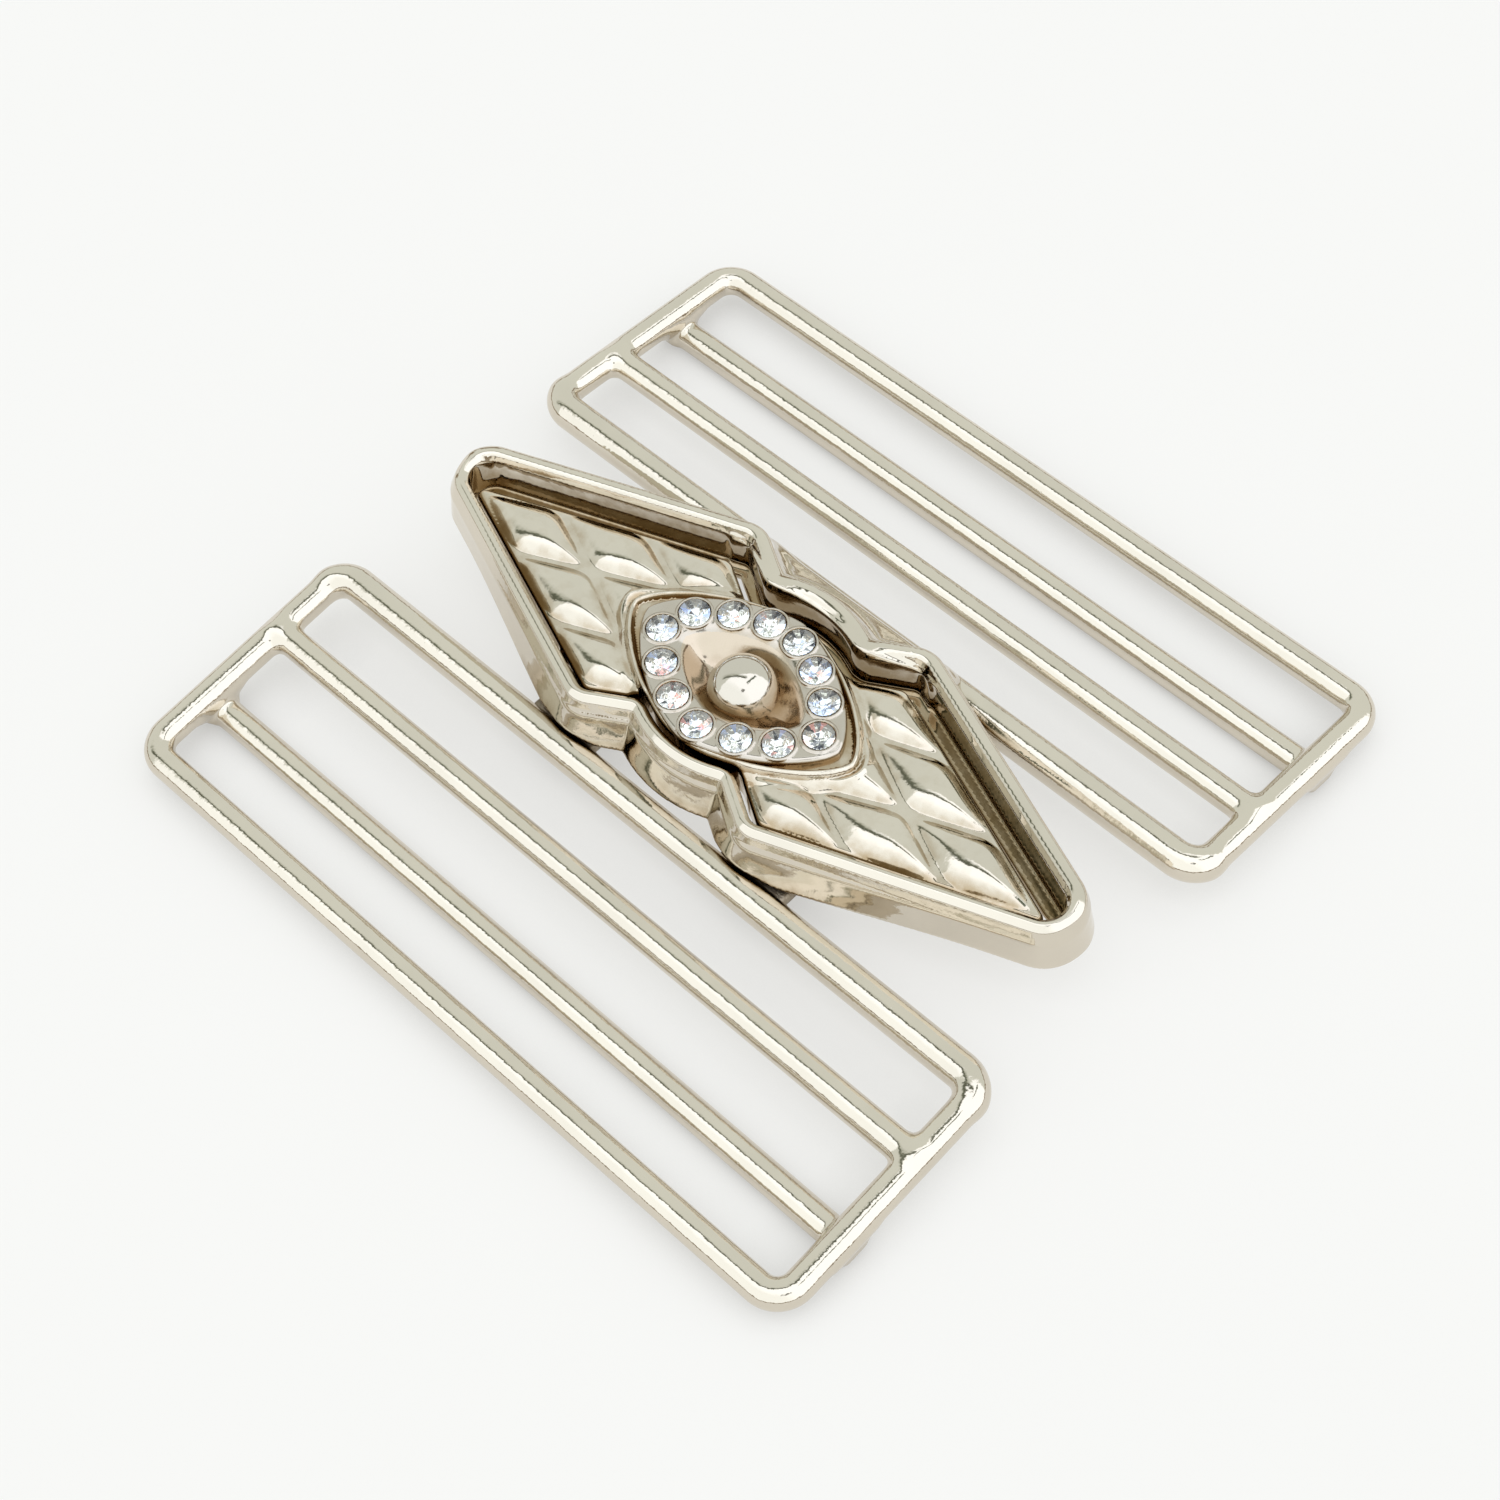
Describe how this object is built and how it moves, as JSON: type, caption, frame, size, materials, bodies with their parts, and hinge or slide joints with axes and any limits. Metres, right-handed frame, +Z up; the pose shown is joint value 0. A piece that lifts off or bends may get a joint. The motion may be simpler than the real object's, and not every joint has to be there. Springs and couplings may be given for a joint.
{
  "type": "belt clasp with strap sliders",
  "caption": "Two-part hook clasp for a wide elastic belt: a lozenge rim drops over a quilted insert with a stone-set eye, and each half carries a strap slider frame.",
  "frame": {"origin": "on the table, under the middle of the hooked clasp", "axes": "+X along the lozenge, which is across the belt; +Y from the insert half to the rim half, which is along the belt; +Z up, out of the decorated face"},
  "size_m": [0.0654, 0.0628, 0.0102],
  "materials": {
    "polished_nickel": "polished nickel plate",
    "clear_crystal": "faceted, foil backed"
  },
  "bodies": {
    "hook_half": {"slider_frame_b": "polished_nickel", "quilted_insert": "polished_nickel", "eye_setting": "polished_nickel", "pupil_dome": "polished_nickel", "rhinestone_01": "clear_crystal", "rhinestone_02": "clear_crystal", "rhinestone_03": "clear_crystal", "rhinestone_04": "clear_crystal", "rhinestone_05": "clear_crystal", "rhinestone_06": "clear_crystal", "rhinestone_07": "clear_crystal", "rhinestone_08": "clear_crystal", "rhinestone_09": "clear_crystal", "rhinestone_10": "clear_crystal", "rhinestone_11": "clear_crystal", "rhinestone_12": "clear_crystal", "rhinestone_13": "clear_crystal"},
    "receiver_half": {"slider_frame_a": "polished_nickel", "receiver_rim": "polished_nickel"}
  },
  "joints": [
    {"name": "clasp_release", "type": "slide", "parent": "hook_half", "child": "receiver_half", "axis": [0, 0, 1], "range_m": [0, 0.012]}
  ]
}
